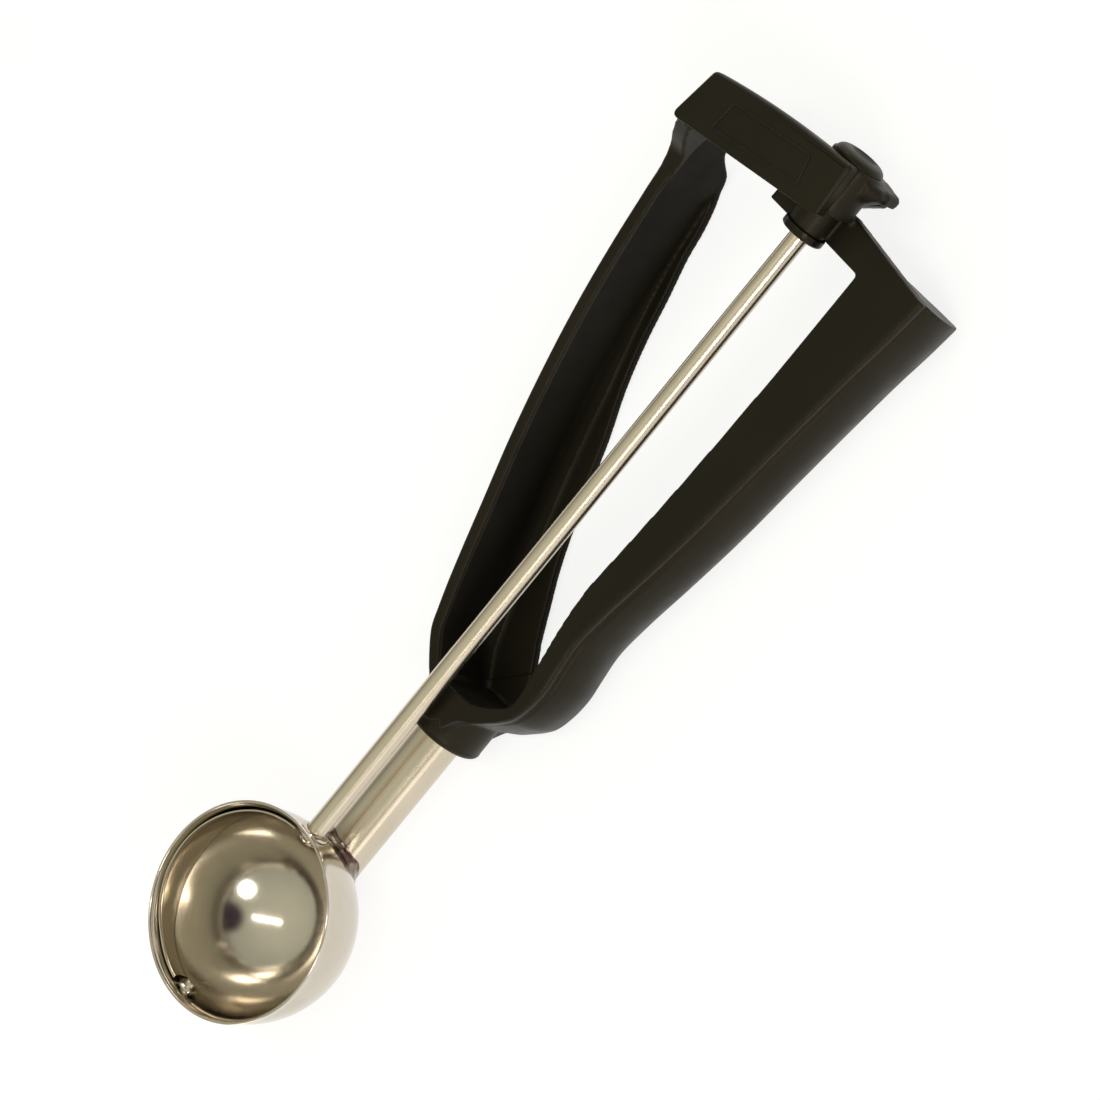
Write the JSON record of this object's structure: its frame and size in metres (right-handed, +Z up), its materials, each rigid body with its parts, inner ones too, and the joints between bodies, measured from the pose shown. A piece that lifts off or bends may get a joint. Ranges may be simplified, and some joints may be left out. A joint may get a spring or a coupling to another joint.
{
  "type": "lever ice cream scoop",
  "caption": "Hand scoop with a round steel bowl, a straight shank and a sprung squeeze handle whose rack and pinion sweep a curved scraper round the bowl.",
  "frame": {"origin": "middle of the base of the whole scoop's box, on the surface the scoop lies on", "axes": "+Y runs from the bowl along the rod to the fork, +X from the squeeze lever to the fixed arm, +Z up out of the open bowl"},
  "size_m": [0.071, 0.2296, 0.0309],
  "materials": {
    "bowl_steel": "polished stainless steel",
    "shank_steel": "polished stainless steel",
    "braze": "heat-tinted brazed joint",
    "gear_steel": "plain stainless steel",
    "handle_plastic": "black satin moulded plastic"
  },
  "bodies": {
    "frame": {"bowl": "bowl_steel", "bowl_eyelet": "bowl_steel", "shank_tube": "shank_steel", "braze_fillet": "braze", "shank_lock_pin": "gear_steel", "handle_frame": "handle_plastic", "fork_bush": "handle_plastic", "fork_cap": "handle_plastic", "front_pivot": "shank_steel"},
    "rod": {"drive_rod": "shank_steel", "thrust_washer": "gear_steel", "pinion": "gear_steel", "scraper_blade": "bowl_steel"},
    "lever": {"squeeze_lever": "handle_plastic", "rack_housing": "handle_plastic", "rack": "gear_steel"}
  },
  "joints": [
    {"name": "lever_squeeze", "type": "hinge", "parent": "frame", "child": "lever", "pos_m": [0.0046, -0.0299, 0.01], "axis": [0, 0, -1], "range_deg": [0, 5.2], "stiffness_Nm_per_rad": 25},
    {"name": "rod_spin", "type": "hinge", "parent": "frame", "child": "rod", "pos_m": [0.0046, 0, 0.0229], "axis": [0, -1, 0], "range_deg": [0, 174.8]}
  ],
  "couplings": [
    {"joint": "rod_spin", "follows": "lever_squeeze", "ratio": 33.605}
  ]
}
